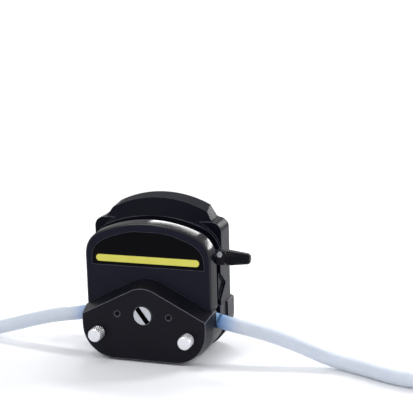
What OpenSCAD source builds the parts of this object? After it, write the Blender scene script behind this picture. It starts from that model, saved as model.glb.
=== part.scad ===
// Easy-load peristaltic pump head with three rollers and its silicone tube.
// The head clips round the drive shaft: +Y runs along the shaft towards the drive,
// +X to the right and +Z up. The origin lies on the shaft axis in the rear mounting face.

/* [Tube] */
// Outer diameter of the silicone tube
tube_od = 11.1; // [8:0.1:11.5]
// Thickness of the squeezed tube under the rollers
squeeze_t = 3.0; // [2.4:0.1:3.4]

/* [Rotor] */
// Distance from the shaft axis to the outermost reach of the rollers
roller_reach = 20.9; // [20:0.1:21]
// Diameter of one roller
roller_d = 12; // [10:0.5:13]
// Length of one roller
roller_len = 20; // [18:0.5:20.5]
// Diameter of the pin that each roller turns on
roller_pin_d = 5; // [4:0.5:6]
// Number of rollers
roller_count = 3; // [3:1:4]
// Thickness of the two discs that carry the roller pins
disc_t = 3; // [2.5:0.1:3.2]
// Diameter of the rotor shaft in its bearings
shaft_d = 12; // [10:0.5:13]
// Diameter of the slotted head at the front end of the shaft
shaft_head_d = 14; // [13:0.5:16]
// Width of the slot in the front end, and thickness of the driving tang
slot_w = 4; // [3:0.1:5]
// Diameter of the shaft stub that enters the drive
stub_d = 10; // [8:0.5:11]
// Length of the stub and tang behind the rear face
stub_len = 9; // [6:0.5:12]

/* [Lower housing] */
// Depth of the head from its front face to the rear mounting face
depth = 63; // [62:0.5:66]
// Half of the width of the lower housing
body_half_w = 51.7; // [51:0.1:52.5]
// Radius of the roof crown about the shaft axis
roof_r = 25; // [24.5:0.1:25.5]
// Slope of the two roof faces
roof_slope = 27.2; // [26:0.1:28]
// Centre of each bottom corner's arc from the middle
corner_x = 24.5; // [22:0.5:26]
// Height of the bottom corners' arc centres below the shaft axis
corner_drop = 10.5; // [9:0.5:12]
// Length of the bevelled nose in front of the upper casing
nose_len = 13.3; // [12.5:0.1:13.6]
// How far the nose's front edge is drawn in at the sides and below
nose_inset = 1.9; // [1:0.1:3]
// How far the nose's front edge is drawn in at the roof
nose_roof_inset = 4; // [2:0.1:5]
// Thickness of the rear bracket
bracket_t = 16; // [15.5:0.5:17]
// How far the bracket's flange stands out of the housing's sides
bracket_lip = 1.3; // [0.5:0.1:1.5]
// Distance between the two tapped mounting holes
mount_pitch = 41.6; // [40:0.1:44]
// Diameter of the tapped mounting holes
mount_hole_d = 4; // [3:0.5:5]

/* [Upper casing] */
// Half of the width of the front cover
cover_half_w = 50.8; // [50:0.1:51.2]
// Height of the front cover's crown above the shaft axis
cover_top = 68.3; // [66:0.1:70]
// Radius of the front cover's crown
crown_r = 98; // [90:1:110]
// Radius of the front cover's upper corners
cover_corner_r = 20; // [18:0.5:22]
// Rounding of the front cover's front edge
cover_edge = 1.2; // [0.5:0.1:2]
// Thickness of the front cover
cover_t = 13.7; // [13:0.1:14]
// Wall of the moulded covers
wall = 3; // [2.5:0.1:3.4]
// Width of the slot that the lever swings in
lever_slot = 6.5; // [6:0.1:7]
// Half of the width of the rear casing
casing_half_w = 52; // [51.5:0.1:52.5]
// Height of the rear casing's front arch above the shaft axis
casing_top = 70; // [69:0.1:71]
// Height of the rear casing's dome above the shaft axis
dome_top = 83.4; // [82:0.1:85]
// Radius of the dome's crown
dome_r = 85; // [80:1:100]
// Forward slope of the dome's crown
dome_tilt = 8; // [6:0.5:9]
// Depth of the lobed shoulders behind the casing's front arch
lobe_depth = 20; // [18:0.5:21]
// Running gap between parts that slide past each other
gap = 0.3; // [0.25:0.05:0.35]

/* [Lift mechanism] */
// Height of the lever's axis above the shaft axis
lever_z = 41.3; // [41:0.1:42.5]
// How far the upper casing lifts when the lever is turned half a turn
lift = 13; // [12:0.5:13.5]
// Height of the fixed follower pin above the lever's axis
follower_h = 18.5; // [18:0.5:19]
// Diameter of the follower pin
follower_d = 5; // [4:0.5:5.5]
// Diameter of the two guide posts
post_d = 6.5; // [6:0.1:6.8]
// Distance of the guide posts from the middle
post_x = 34; // [33:0.5:34.5]
// Diameter of the lever's shaft
lever_shaft_d = 10; // [8:0.5:11]
// Distance from the lever's axis to the inner end of the grip
grip_start = 58.5; // [57:0.5:60]
// Length of the tapered grip
grip_len = 18.5; // [16:0.5:24]
// Diameter of the grip at its inner end
grip_d = 12.5; // [11:0.5:13.5]
// Diameter of the grip at its outer end
grip_end_d = 8.4; // [7.5:0.1:11]

/* [Tube clamps] */
// Distance of the clamp knobs from the middle
knob_x = 36.1; // [35.5:0.1:36.5]
// Drop of the clamp knobs below the shaft axis
knob_drop = 15.6; // [15.4:0.1:16]
// Diameter of a clamp knob
knob_d = 11; // [10.8:0.1:12]
// Length of a clamp knob in front of the front face
knob_len = 10.6; // [8:0.2:12]
// Width of the clamp jaws
jaw_w = 12; // [10:0.5:12.5]
// How far a lower jaw can be set back from the tube
jaw_travel = 3; // [2:0.5:3]

/* [Hidden] */
$fn = 72;
hull_fn = 80;

black = "#23222b";
steel = "#c4c6ca";
chrome = "#dcdee2";
silicone = "#dfe6f0";

// Depth positions along Y, from the front to the back
face_y = -depth;
nose_y = face_y + nose_len;
cover_back_y = nose_y + cover_t;
casing_y = cover_back_y + lever_slot;
casing_back_y = -6;
tube_y = cover_back_y;
roller_y = [tube_y - roller_len / 2, tube_y + roller_len / 2];
front_disc_y = [roller_y[0] - gap - disc_t, roller_y[0] - gap];
rear_disc_y = [roller_y[1] + gap, roller_y[1] + gap + disc_t];
bay_front_y = front_disc_y[0] - 0.6;
bed_y = [nose_y + wall, rear_disc_y[0] + 0.7];
bay_y = [bed_y[0] - 2 * gap, bed_y[1] + 2 * gap];
bracket_y = -bracket_t;

// The squeezed tube's working arc and the bends that lead out of the head
track_r = roller_reach + 2 * gap + squeeze_t;
arc_r = roller_reach + gap + squeeze_t / 2;
arc_end = 28;
bend_r = 33;
exit_slope = 13;
bend_c = [(arc_r + bend_r) * cos(arc_end), (arc_r + bend_r) * sin(arc_end)];
bend_span = 90 - exit_slope - arc_end;
bend_end = bend_c + bend_r * [cos(180 + arc_end + bend_span), sin(180 + arc_end + bend_span)];
exit_z = bend_end[1] - (body_half_w - bend_end[0]) * tan(exit_slope);
tube_r = tube_od / 2;
floor_z = -(corner_drop + body_half_w - corner_x);

// The free ends of the tube, from the head to the cut ends: [x, distance behind the tube's plane, z]
left_route = [
    [-51.7, 0, -8.3], [-64, 0, -11.1], [-75, 0, -12.8], [-86, 0, -14.8], [-98, 0, -17.9],
    [-110, 0, -21.4], [-123, 0, -25.4], [-136, 0, -29.2], [-148, -1.5, -31.6],
    [-160, -5, -32.15], [-172, -11, -32.15], [-184, -17.5, -32.15], [-197, -23.5, -32.15],
    [-212, -27, -32.15], [-228, -28, -32.15], [-245, -28, -32.15], [-262, -28, -32.15],
    [-277.7, -24.9, -32.15], [-291, -16, -32.15], [-300, -2.7, -32.15], [-303, 13, -32.15],
    [-300, 28.7, -32.15], [-291, 42, -32.15], [-277.7, 50.9, -32.15], [-262, 54, -32.15],
    [-245, 54, -32.15], [-225, 54, -32.15], [-205, 54, -32.15], [-186, 54, -32.15]
];
right_route = [
    [51.7, 0, -8.3], [64, 0, -11.1], [76, 0, -13], [88, 0, -15.4], [102, 0, -19],
    [116, 0, -23.3], [130, -1, -28], [142, -2.2, -31], [153, -5, -32.15], [165, -10, -32.15],
    [177, -16, -32.15], [189, -21.5, -32.15], [202, -25, -32.15], [216, -26, -32.15],
    [231, -26, -32.15], [246, -26, -32.15], [262, -26, -32.15], [277.3, -23, -32.15],
    [290.3, -14.3, -32.15], [299, -1.3, -32.15], [302, 14, -32.15], [299, 29.3, -32.15],
    [290.3, 42.3, -32.15], [277.3, 51, -32.15], [262, 54, -32.15], [245, 54, -32.15],
    [228, 54, -32.15], [211, 54, -32.15]
];

// Lift cam: the groove's radius falls evenly with the angle, so lift is proportional to turning
groove_gap = gap;
cam_rim = 2.2;
function groove_r(a) = follower_h - lift * (90 - a) / 180;
// The groove climbs as it turns, so its half width along a radius is more than across it
function groove_w(a) = (follower_d / 2 + groove_gap) * sqrt(1 + pow(lift / PI / groove_r(a), 2));

// ---------- shared shapes ----------

// A solid of a front-view outline between two depths
module slab(y0, y1) {
    translate([0, y1, 0]) rotate([90, 0, 0]) linear_extrude(y1 - y0) children();
}

// A round bar along Y
module rod(x, z, d, y0, y1) {
    translate([x, y1, z]) rotate([90, 0, 0]) cylinder(d = d, h = y1 - y0);
}

module mirrored() {
    children();
    mirror([1, 0, 0]) children();
}

// Height of a roof face that is tangent to a circle of radius r, at distance x from the middle
function roof_z(r, x) = (r - x * sin(roof_slope)) / cos(roof_slope);

// Front-view outline of the lower housing: crowned roof, upright sides, round bottom corners
module housing_outline(r, half_w) {
    bottom_r = half_w - corner_x;
    polygon([
        [half_w, -corner_drop], [half_w, roof_z(r, half_w)],
        [r * sin(roof_slope), r * cos(roof_slope)], [-r * sin(roof_slope), r * cos(roof_slope)],
        [-half_w, roof_z(r, half_w)], [-half_w, -corner_drop],
        [-corner_x, -corner_drop - bottom_r], [corner_x, -corner_drop - bottom_r]
    ]);
    circle(r);
    mirrored() intersection() {
        translate([corner_x, -corner_drop]) circle(bottom_r);
        translate([corner_x - 1, -corner_drop - half_w]) square([half_w, half_w]);
    }
}

// Everything under the roof, used to cut the upper casing's underside
module under_roof(r) {
    reach = 80;
    polygon([
        [r * sin(roof_slope), r * cos(roof_slope)], [reach, roof_z(r, reach)], [reach, -reach],
        [-reach, -reach], [-reach, roof_z(r, reach)], [-r * sin(roof_slope), r * cos(roof_slope)]
    ]);
    circle(r);
}

// Height of the corner centres of an arched outline
function arch_corner_z(half_w, top, r, corner_r) =
    top - r + sqrt(pow(r - corner_r, 2) - pow(half_w - corner_r, 2));

// Arched outline: upright sides, round corners and a crowned top, down to the height low
module arch(half_w, top, r, corner_r, low) {
    cz = arch_corner_z(half_w, top, r, corner_r);
    cx = half_w - corner_r;
    lean = asin(cx / (r - corner_r)) - 0.6;
    translate([-half_w, low]) square([2 * half_w, cz - low]);
    mirrored() translate([cx, cz]) circle(corner_r);
    intersection() {
        translate([0, top - r]) circle(r, $fn = 2 * $fn);
        polygon([
            [-cx, low], [cx, low], [cx, cz],
            [cx + (corner_r + 9) * sin(lean), cz + (corner_r + 9) * cos(lean)],
            [-cx - (corner_r + 9) * sin(lean), cz + (corner_r + 9) * cos(lean)], [-cx, cz]
        ]);
    }
}

// The front cover's outline drawn in by inset
module cover_outline(inset) {
    arch(cover_half_w - inset, cover_top - inset, crown_r - inset, cover_corner_r - inset, -20);
}

// ---------- tube ----------

// Half thickness of the squeezed tube, a degrees past the working arc's end
function tube_h(a) =
    let (s = min(1, max(0, a / 28)))
    squeeze_t / 2 + (tube_r - squeeze_t / 2) * s * s * (3 - 2 * s);

// Half width of the tube when its half thickness is h: the wall's length stays the same
function tube_w(h) = h + PI * (tube_r - h) / 2;

// Stations along the right half of the route in the head: [x, z, heading, half thickness]
arc_step = 6.2;
right_half = concat(
    [for (i = [0 : 10]) let (a = 90 - arc_step * i)
        [arc_r * cos(a), arc_r * sin(a), a - 90, squeeze_t / 2]],
    [for (i = [1 : 12]) let (a = bend_span * i / 12, t = 180 + arc_end + a)
        [bend_c[0] + bend_r * cos(t), bend_c[1] + bend_r * sin(t), t + 90 - 360, tube_h(a)]],
    [[body_half_w, exit_z, -exit_slope, tube_r]]
);
left_half = [for (i = [len(right_half) - 1 : -1 : 1]) let (s = right_half[i])
    [-s[0], s[1], -s[2], s[3]]];
head_stations = concat(left_half, right_half);

// One cross-section: a slot shape of half thickness h, set square to the heading
section_n = 16;
function tube_ring(s) =
    let (h = s[3], flat = tube_w(h) - h)
    [for (k = [0 : section_n - 1])
        let (a = 360 * (k + 0.5) / section_n, side = cos(a) >= 0 ? 1 : -1,
             across = side * flat + h * cos(a), up = h * sin(a))
        [s[0] - up * sin(s[2]), tube_y + across, s[1] + up * cos(s[2])]];

// Faces that join rings of n points into one closed tube
function skin(rings, n) = concat(
    [for (i = [0 : rings - 2], k = [0 : n - 1]) let (m = (k + 1) % n)
        [i * n + k, i * n + m, (i + 1) * n + m, (i + 1) * n + k]],
    [[for (k = [n - 1 : -1 : 0]) k]],
    [[for (k = [0 : n - 1]) (rings - 1) * n + k]]
);

module tube_middle() {
    rings = [for (s = head_stations) each tube_ring(s)];
    color(silicone) polyhedron(rings, skin(len(head_stations), section_n));
}

function unit(v) = v / norm(v);
route_n = 12;
function route_dir(p, i) =
    i == 0 ? unit(p[1] - p[0]) :
    i == len(p) - 1 ? unit(p[i] - p[i - 1]) : unit(unit(p[i + 1] - p[i]) + unit(p[i] - p[i - 1]));

// A round tube swept along a list of points
module swept_tube(p) {
    points = [for (i = [0 : len(p) - 1])
        let (t = route_dir(p, i), side = unit(cross(t, [0, 0, 1])), up = cross(side, t))
        for (k = [0 : route_n - 1])
            let (a = 360 * (k + 0.5) / route_n)
            p[i] + tube_r * (cos(a) * side + sin(a) * up)];
    polyhedron(points, skin(len(p), route_n));
}

module left_tube() { color(silicone) translate([0, tube_y, 0]) swept_tube(left_route); }
module right_tube() { color(silicone) translate([0, tube_y, 0]) swept_tube(right_route); }

// ---------- tube clamps ----------

// The tube's centre line crosses the clamp here, with this slope
clamp_t = 180 + acos((bend_c[0] - knob_x) / bend_r);
clamp_z = bend_c[1] + bend_r * sin(clamp_t);
clamp_slope = 270 - clamp_t;
clamp_sag = pow(jaw_w / 2 + 3, 2) / (2 * bend_r);
jaw_y = [bed_y[0] + gap, bed_y[1] - gap];
jaw_low = -knob_drop - 5;
pocket_w = jaw_w + 2 * gap;
pocket_low = jaw_low - jaw_travel - gap;
stud_d = 4;

// Square prism on the tube's line, whose lower and upper halves are the jaws' V grooves
module v_prism(shift) {
    side = tube_od + 2 * gap;
    translate([knob_x, tube_y, clamp_z + shift]) rotate([0, clamp_slope, 0]) rotate([45, 0, 0])
        translate([-20, -side / 2, -side / 2]) cube([40, side, side]);
}

// Space above or below the tube's line at the clamp
module clamp_side(up) {
    translate([knob_x, tube_y, clamp_z]) rotate([0, clamp_slope, 0])
        translate([-30, -30, up ? -0.8 : -59.2]) cube([60, 60, 60]);
}

module lower_jaw() {
    color(black) difference() {
        translate([knob_x - jaw_w / 2, jaw_y[0], jaw_low])
            cube([jaw_w, jaw_y[1] - jaw_y[0], clamp_z - jaw_low + 12]);
        clamp_side(true);
        v_prism(0);
        rod(knob_x, -knob_drop, stud_d + 0.1, jaw_y[0] - 1, jaw_y[0] + 8);
    }
}

module upper_jaw() {
    color(black) difference() {
        translate([knob_x - jaw_w / 2, bed_y[0], clamp_z - 12])
            cube([jaw_w, bed_y[1] - bed_y[0], upper_jaw_top - clamp_z + 12]);
        clamp_side(false);
        v_prism(clamp_sag);
    }
}

module knob() {
    head_y = [face_y - knob_len, face_y - gap];
    edge = 0.8;
    color(chrome) {
        rod(knob_x, -knob_drop, knob_d, head_y[0] + edge, head_y[1]);
        translate([knob_x, head_y[0] + edge, -knob_drop]) rotate([90, 0, 0])
            cylinder(d1 = knob_d, d2 = knob_d - 2 * edge, h = edge);
        rod(knob_x, -knob_drop, stud_d, head_y[1] - 1, jaw_y[0] + 7.5);
    }
}

module left_lower_jaw() { mirror([1, 0, 0]) lower_jaw(); }
module right_lower_jaw() { lower_jaw(); }
module left_upper_jaw() { mirror([1, 0, 0]) upper_jaw(); }
module right_upper_jaw() { upper_jaw(); }
module left_knob() { mirror([1, 0, 0]) knob(); }
module right_knob() { knob(); }

// ---------- lower housing ----------

bearing_d = shaft_d + 9;
bearing_t = 5;
front_bearing_y = [bay_front_y - 2 - bearing_t, bay_front_y - 2];
rear_bearing_y = [bracket_y + 2, bracket_y + 2 + bearing_t];
rotor_bay_r = roller_reach + 1.6;
bay_half_w = knob_x + jaw_w / 2 + 2;
face_screw_d = 2.5;
face_head_d = 4.2;
plate_half_w = mount_pitch / 2 + 4;
plate_h = 22;
plate_t = 2;
bracket_screw_spots = [[44, -7], [20, -30]];
post_y = casing_back_y - 2.6 - post_d / 2;
post_low = -12;

// Front view of the space that the bed, the jaws and the tube need
module bay_outline() {
    circle(rotor_bay_r);
    translate([-20, 0]) square([40, 60]);
    mirrored() intersection() {
        translate(bend_c) circle(bend_r + tube_r + 2 * gap);
        translate([12, -30]) square([bay_half_w - 12, 80]);
    }
}

module tube_notch() {
    r = tube_r;
    translate([bend_end[0] - 4, tube_y, bend_end[1] + 4 * tan(exit_slope)]) rotate([0, exit_slope, 0]) {
        rotate([0, 90, 0]) cylinder(r = r, h = 24);
        translate([0, -r, 0]) cube([24, 2 * r, 40]);
    }
}

module pump_body() {
    nose_w = body_half_w - nose_inset;
    color(black) difference() {
        union() {
            hull() {
                $fn = hull_fn;
                slab(face_y, face_y + 0.4) housing_outline(roof_r - nose_roof_inset, nose_w);
                slab(nose_y, bracket_y) housing_outline(roof_r, body_half_w);
            }
        }
        rod(0, 0, 2 * rotor_bay_r, bay_front_y, bracket_y + 1);
        slab(bay_y[0], bay_y[1]) bay_outline();
        mirrored() {
            translate([knob_x - pocket_w / 2, bay_front_y, pocket_low])
                cube([pocket_w, bay_y[1] - bay_front_y, clamp_z - pocket_low]);
            slab(face_y - 1, bay_front_y + 1)
                translate([knob_x - stud_d / 2 - gap, -knob_drop - jaw_travel - stud_d / 2 - gap])
                    square([stud_d + 2 * gap, stud_d + 2 * gap + jaw_travel]);
            tube_notch();
            rod(mount_pitch / 2, 0, face_screw_d + gap, face_y - 1, bay_front_y + 1);
            rod(mount_pitch / 2, 0, face_head_d + gap, face_y - 1, face_y + 3.6);
            for (s = bracket_screw_spots) rod(s[0], s[1], 2.5, bracket_y - 6.5, bracket_y + 1);
        }
        slab(bay_front_y - plate_t, bay_front_y + 1)
            square([2 * plate_half_w + gap, plate_h + gap], center = true);
        rod(0, 0, bearing_d, front_bearing_y[0], bay_front_y);
        rod(0, 0, shaft_head_d + 2 * gap, face_y - 1, bay_front_y);
    }
}

module bearing_plate() {
    color(steel) difference() {
        slab(bay_front_y - plate_t, bay_front_y) square([2 * plate_half_w, plate_h], center = true);
        rod(0, 0, shaft_d + 3, bay_front_y - 9, bay_front_y + 9);
        mirrored() rod(mount_pitch / 2, 0, face_screw_d, bay_front_y - 9, bay_front_y + 9);
    }
}

module face_screws() {
    color(steel) mirrored() difference() {
        union() {
            rod(mount_pitch / 2, 0, face_head_d, face_y + 1, face_y + 3.6);
            rod(mount_pitch / 2, 0, face_screw_d, face_y + 2, bay_front_y - 0.2);
        }
        translate([mount_pitch / 2, face_y + 2.6, 0]) rotate([90, 0, 0])
            cylinder(d = 2.3, h = 9, $fn = 6);
    }
}

module ball_bearing(y) {
    color(steel) difference() {
        rod(0, 0, bearing_d, y[0], y[1]);
        rod(0, 0, shaft_d + 0.04, y[0] - 1, y[1] + 1);
        for (side = [0, 1]) difference() {
            rod(0, 0, bearing_d - 3, y[side] - 0.4, y[side] + 0.4);
            rod(0, 0, shaft_d + 3, y[side] - 1, y[side] + 1);
        }
    }
}

module front_bearing() { ball_bearing(front_bearing_y); }
module rear_bearing() { ball_bearing(rear_bearing_y); }

module rear_bracket() {
    color("#3a3a42") difference() {
        union() {
            slab(bracket_y, 0) intersection() {
                housing_outline(roof_r, body_half_w + bracket_lip);
                translate([-80, floor_z]) square([160, 120]);
            }
        }
        rod(0, 0, bearing_d, bracket_y - 1, rear_bearing_y[1]);
        rod(0, 0, shaft_d + 2, bracket_y, 1);
        mirrored() {
            rod(mount_pitch / 2, 0, mount_hole_d, bracket_y - 1, 1);
            translate([post_x, post_y, post_low]) cylinder(d = post_d, h = 60);
            for (s = bracket_screw_spots) {
                rod(s[0], s[1], 3.3, bracket_y - 1, 1);
                rod(s[0], s[1], 6.4, -3.4, 1);
            }
        }
    }
}

module bracket_screws() {
    color(steel) mirrored() for (s = bracket_screw_spots) difference() {
        union() {
            rod(s[0], s[1], 6, -3.4, -0.4);
            rod(s[0], s[1], 2.5, bracket_y - 6, -3);
        }
        translate([s[0], 0, s[1]]) rotate([90, 0, 0]) cylinder(d = 3, h = 2.4, $fn = 6);
    }
}

crossbar_z = [lever_z + 11, lever_z + follower_h + 4.5];
post_top = crossbar_z[0] + 7;
crossbar_y = [post_y - post_d / 2, post_y + post_d / 2];
crossbar_half_w = post_x + post_d / 2 + 1;

module guide_posts() {
    color(steel) mirrored() translate([post_x, post_y, post_low])
        cylinder(d = post_d, h = post_top - 2 - post_low);
}

module crossbar() {
    color("#8f9298") difference() {
        slab(crossbar_y[0], crossbar_y[1]) polygon([
            [-crossbar_half_w, crossbar_z[0]], [crossbar_half_w, crossbar_z[0]],
            [crossbar_half_w, post_top], [post_x - 8, crossbar_z[1]],
            [8 - post_x, crossbar_z[1]], [-crossbar_half_w, post_top]
        ]);
        mirrored() translate([post_x, post_y, crossbar_z[0] - 1]) {
            cylinder(d = post_d - 2, h = 20);
            cylinder(d = post_d + 0.02, h = post_top - 2 - crossbar_z[0] + 1);
        }
        rod(0, lever_z + follower_h, follower_d, crossbar_y[0] - 1, crossbar_y[1] + 1);
    }
}

module crossbar_caps() {
    color(steel) mirrored() translate([post_x, post_y, post_top - 2])
        cylinder(d = post_d - 2, h = 3);
}

module follower_pin() {
    color(steel) rod(0, lever_z + follower_h, follower_d, cam_y[1] - groove_t + gap, crossbar_y[1]);
}

// ---------- rotor ----------

roller_c = roller_reach - roller_d / 2;
disc_r = roller_reach - 0.6;
hub_d = 2 * (roller_c - roller_d / 2) - 1;

module at_rollers() {
    for (i = [0 : roller_count - 1]) rotate([0, 360 * i / roller_count - 90, 0])
        translate([roller_c, 0, 0]) children();
}

module rotor_disc(y) {
    color(steel) difference() {
        rod(0, 0, 2 * disc_r, y[0], y[1]);
        rod(0, 0, shaft_d, y[0] - 1, y[1] + 1);
        at_rollers() rod(0, 0, roller_pin_d, y[0] - 1, y[1] + 1);
        rotate([0, 180 / roller_count, 0]) at_rollers() rod(-1, 0, 6, y[0] - 1, y[1] + 1);
    }
}

module front_disc() { rotor_disc(front_disc_y); }
module rear_disc() { rotor_disc(rear_disc_y); }

module roller_pins() {
    color(steel) at_rollers() rod(0, 0, roller_pin_d, front_disc_y[0], rear_disc_y[1]);
}

module rotor_spacer() {
    color("#9a9ca2") difference() {
        rod(0, 0, hub_d, front_disc_y[1], rear_disc_y[0]);
        rod(0, 0, shaft_d, front_disc_y[1] - 1, rear_disc_y[0] + 1);
    }
}

module rotor_shaft() {
    slot_lean = 36;
    color(steel) difference() {
        union() {
            rod(0, 0, shaft_head_d, face_y - 0.6, front_bearing_y[0] - 0.2);
            rod(0, 0, shaft_d, front_bearing_y[0] - 0.4, -4);
            rod(0, 0, stub_d, -5, stub_len / 2);
            intersection() {
                rod(0, 0, stub_d, 0, stub_len);
                rotate([0, slot_lean, 0]) translate([-stub_d, 0, -slot_w / 2 + 0.1])
                    cube([2 * stub_d, stub_len, slot_w - 0.2]);
            }
        }
        rotate([0, 90 - slot_lean, 0]) translate([-shaft_head_d, face_y - 1, -slot_w / 2])
            cube([2 * shaft_head_d, 4.6, slot_w]);
    }
}

module roller(i) {
    color("#d8d9dc") rotate([0, 360 * i / roller_count - 90, 0]) translate([roller_c, 0, 0])
        difference() {
            rod(0, 0, roller_d, roller_y[0], roller_y[1]);
            rod(0, 0, roller_pin_d + 0.1, roller_y[0] - 1, roller_y[1] + 1);
        }
}

module roller_1() { roller(0); }
module roller_2() { roller(1); }
module roller_3() { roller(2); }

// ---------- upper casing ----------

bed_half_w = knob_x - jaw_w / 2;
bed_top = lever_z - 10.3;
upper_jaw_top = 22;
spacer_spot = [knob_x + 2, 28];
spacer_d = 8;
cover_screw_d = 3;
axle_bush_d = lever_shaft_d + 4;
axle_boss_d = axle_bush_d + 5;
cam_y = [bed_y[1] + 0.6, crossbar_y[0] - 0.8];
groove_t = 5;
label_z = 34.5;
label_t = 0.8;
label_half_w = cover_half_w - 5.6;
label_top = cover_top - 6.1;

module occlusion_bed() {
    tip = 2;
    color("#34343c") difference() {
        slab(bed_y[0], bed_y[1]) difference() {
            union() {
                intersection() {
                    circle(track_r + 6.5);
                    translate([-bed_half_w, 0]) square([2 * bed_half_w, bed_top]);
                }
                translate([-bed_half_w, 20]) square([2 * bed_half_w, bed_top - 20]);
            }
            circle(track_r);
            polygon([[0, 0], 90 * [cos(arc_end), sin(arc_end)], [90, -9], [-90, -9],
                90 * [-cos(arc_end), sin(arc_end)]]);
        }
    }
}

module front_cover() {
    color(black) difference() {
        hull() {
            $fn = hull_fn;
            slab(nose_y, nose_y + 0.1) cover_outline(cover_edge);
            slab(nose_y + 0.3 * cover_edge, nose_y + 0.4 * cover_edge) cover_outline(0.3 * cover_edge);
            slab(nose_y + cover_edge, cover_back_y) cover_outline(0);
        }
        slab(nose_y - 1, cover_back_y + 1) under_roof(roof_r + gap);
        difference() {
            slab(nose_y + wall, cover_back_y + 1) cover_outline(wall + 0.5);
            rod(0, lever_z, axle_boss_d, nose_y, cover_back_y - 0.6);
            mirrored() rod(spacer_spot[0], spacer_spot[1], spacer_d, nose_y, cover_back_y);
        }
        rod(0, lever_z, axle_bush_d, nose_y + wall, cover_back_y + 1);
        mirrored() rod(spacer_spot[0], spacer_spot[1], cover_screw_d, nose_y + wall, cover_back_y + 1);
        slab(nose_y - 1, nose_y + label_t) label_outline(gap / 2);
    }
}

module label_outline(grow) {
    hull() intersection() {
        arch(label_half_w + grow, label_top + grow, crown_r - 18 + grow, 16 + grow, 0);
        translate([-100, label_z - grow]) square([200, 100]);
    }
}

module label_plate() {
    color("#0c0c12") slab(nose_y, nose_y + label_t) label_outline(0);
}

module label_strip() {
    strip_h = 5.4;
    strip_z = 39.8;
    strip_half_w = label_half_w - 3.4;
    color("#e8dc2a") slab(nose_y - 0.2, nose_y) hull() {
        $fn = 32;
        mirrored() translate([strip_half_w - strip_h / 2, strip_z]) circle(d = strip_h);
    }
}

// Front view of the lobed shoulders on both sides of the dome
lobe_r = 7.5;
lobe_top = casing_top - 3.9;
saddle_r = 4;
saddle = [casing_half_w - 6.6, lobe_top + saddle_r];
// Points of the dome's flank: its foot beside the saddle, and the dome's edge
flank_foot = [casing_half_w - 10.3, lobe_top + 2.5];
flank_edge = [casing_half_w - 14.3, dome_top - 8.6];
flank_top = [casing_half_w - 21, dome_top + 7];
function other_side(p) = [-p[0], p[1]];
module lobed_outline() {
    difference() {
        union() {
            translate([-casing_half_w, -20]) square([2 * casing_half_w, lobe_top - lobe_r + 20]);
            mirrored() translate([casing_half_w - lobe_r, lobe_top - lobe_r]) circle(lobe_r);
            translate([-casing_half_w + lobe_r, -20])
                square([2 * (casing_half_w - lobe_r), lobe_top + 20]);
        }
        mirrored() translate(saddle) circle(saddle_r);
    }
}

// Front view of the hollow curve between the lobes and the dome's flanks
module saddle_outline() {
    mirrored() difference() {
        polygon([
            flank_foot - [2, 6], flank_foot, saddle + [1, 0], saddle + [0, -saddle_r],
            saddle - [0, saddle_r + 6]
        ]);
        translate(saddle) circle(saddle_r);
        translate(saddle + [0, -saddle_r]) square([9, 9]);
    }
}

// Front view of the block that the dome is cut from
module dome_flanks() {
    polygon([
        other_side(flank_foot), [-flank_foot[0], bed_top - 10], [flank_foot[0], bed_top - 10],
        flank_foot, flank_edge, flank_top, other_side(flank_top), other_side(flank_edge)
    ]);
}

// The dome's crown: a round back that falls towards the front, and a bevel that rises from the arch
dome_bevel = 1.26;
module dome_crown() {
    low_r = casing_top - dome_top + dome_r;
    intersection() {
        translate([0, casing_back_y, dome_top - dome_r]) rotate([90 + dome_tilt, 0, 0])
            translate([0, 0, -20]) cylinder(r = dome_r, h = 80, $fn = 2 * $fn);
        translate([0, casing_y, dome_top - dome_r]) rotate([90, 0, 0]) translate([0, 0, -40])
            cylinder(r1 = low_r + 40 * dome_bevel, r2 = low_r - 4 * dome_bevel, h = 44, $fn = 2 * $fn);
    }
}

module side_relief() {
    relief_z = 17;
    relief_h = 11;
    relief_len = 13;
    translate([casing_half_w - 2, 0, relief_z]) rotate([90, 0, 90]) linear_extrude(9) polygon([
        [casing_y - 1, relief_h], [casing_y + relief_len, 0], [casing_y - 1, -relief_h]
    ]);
}

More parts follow.
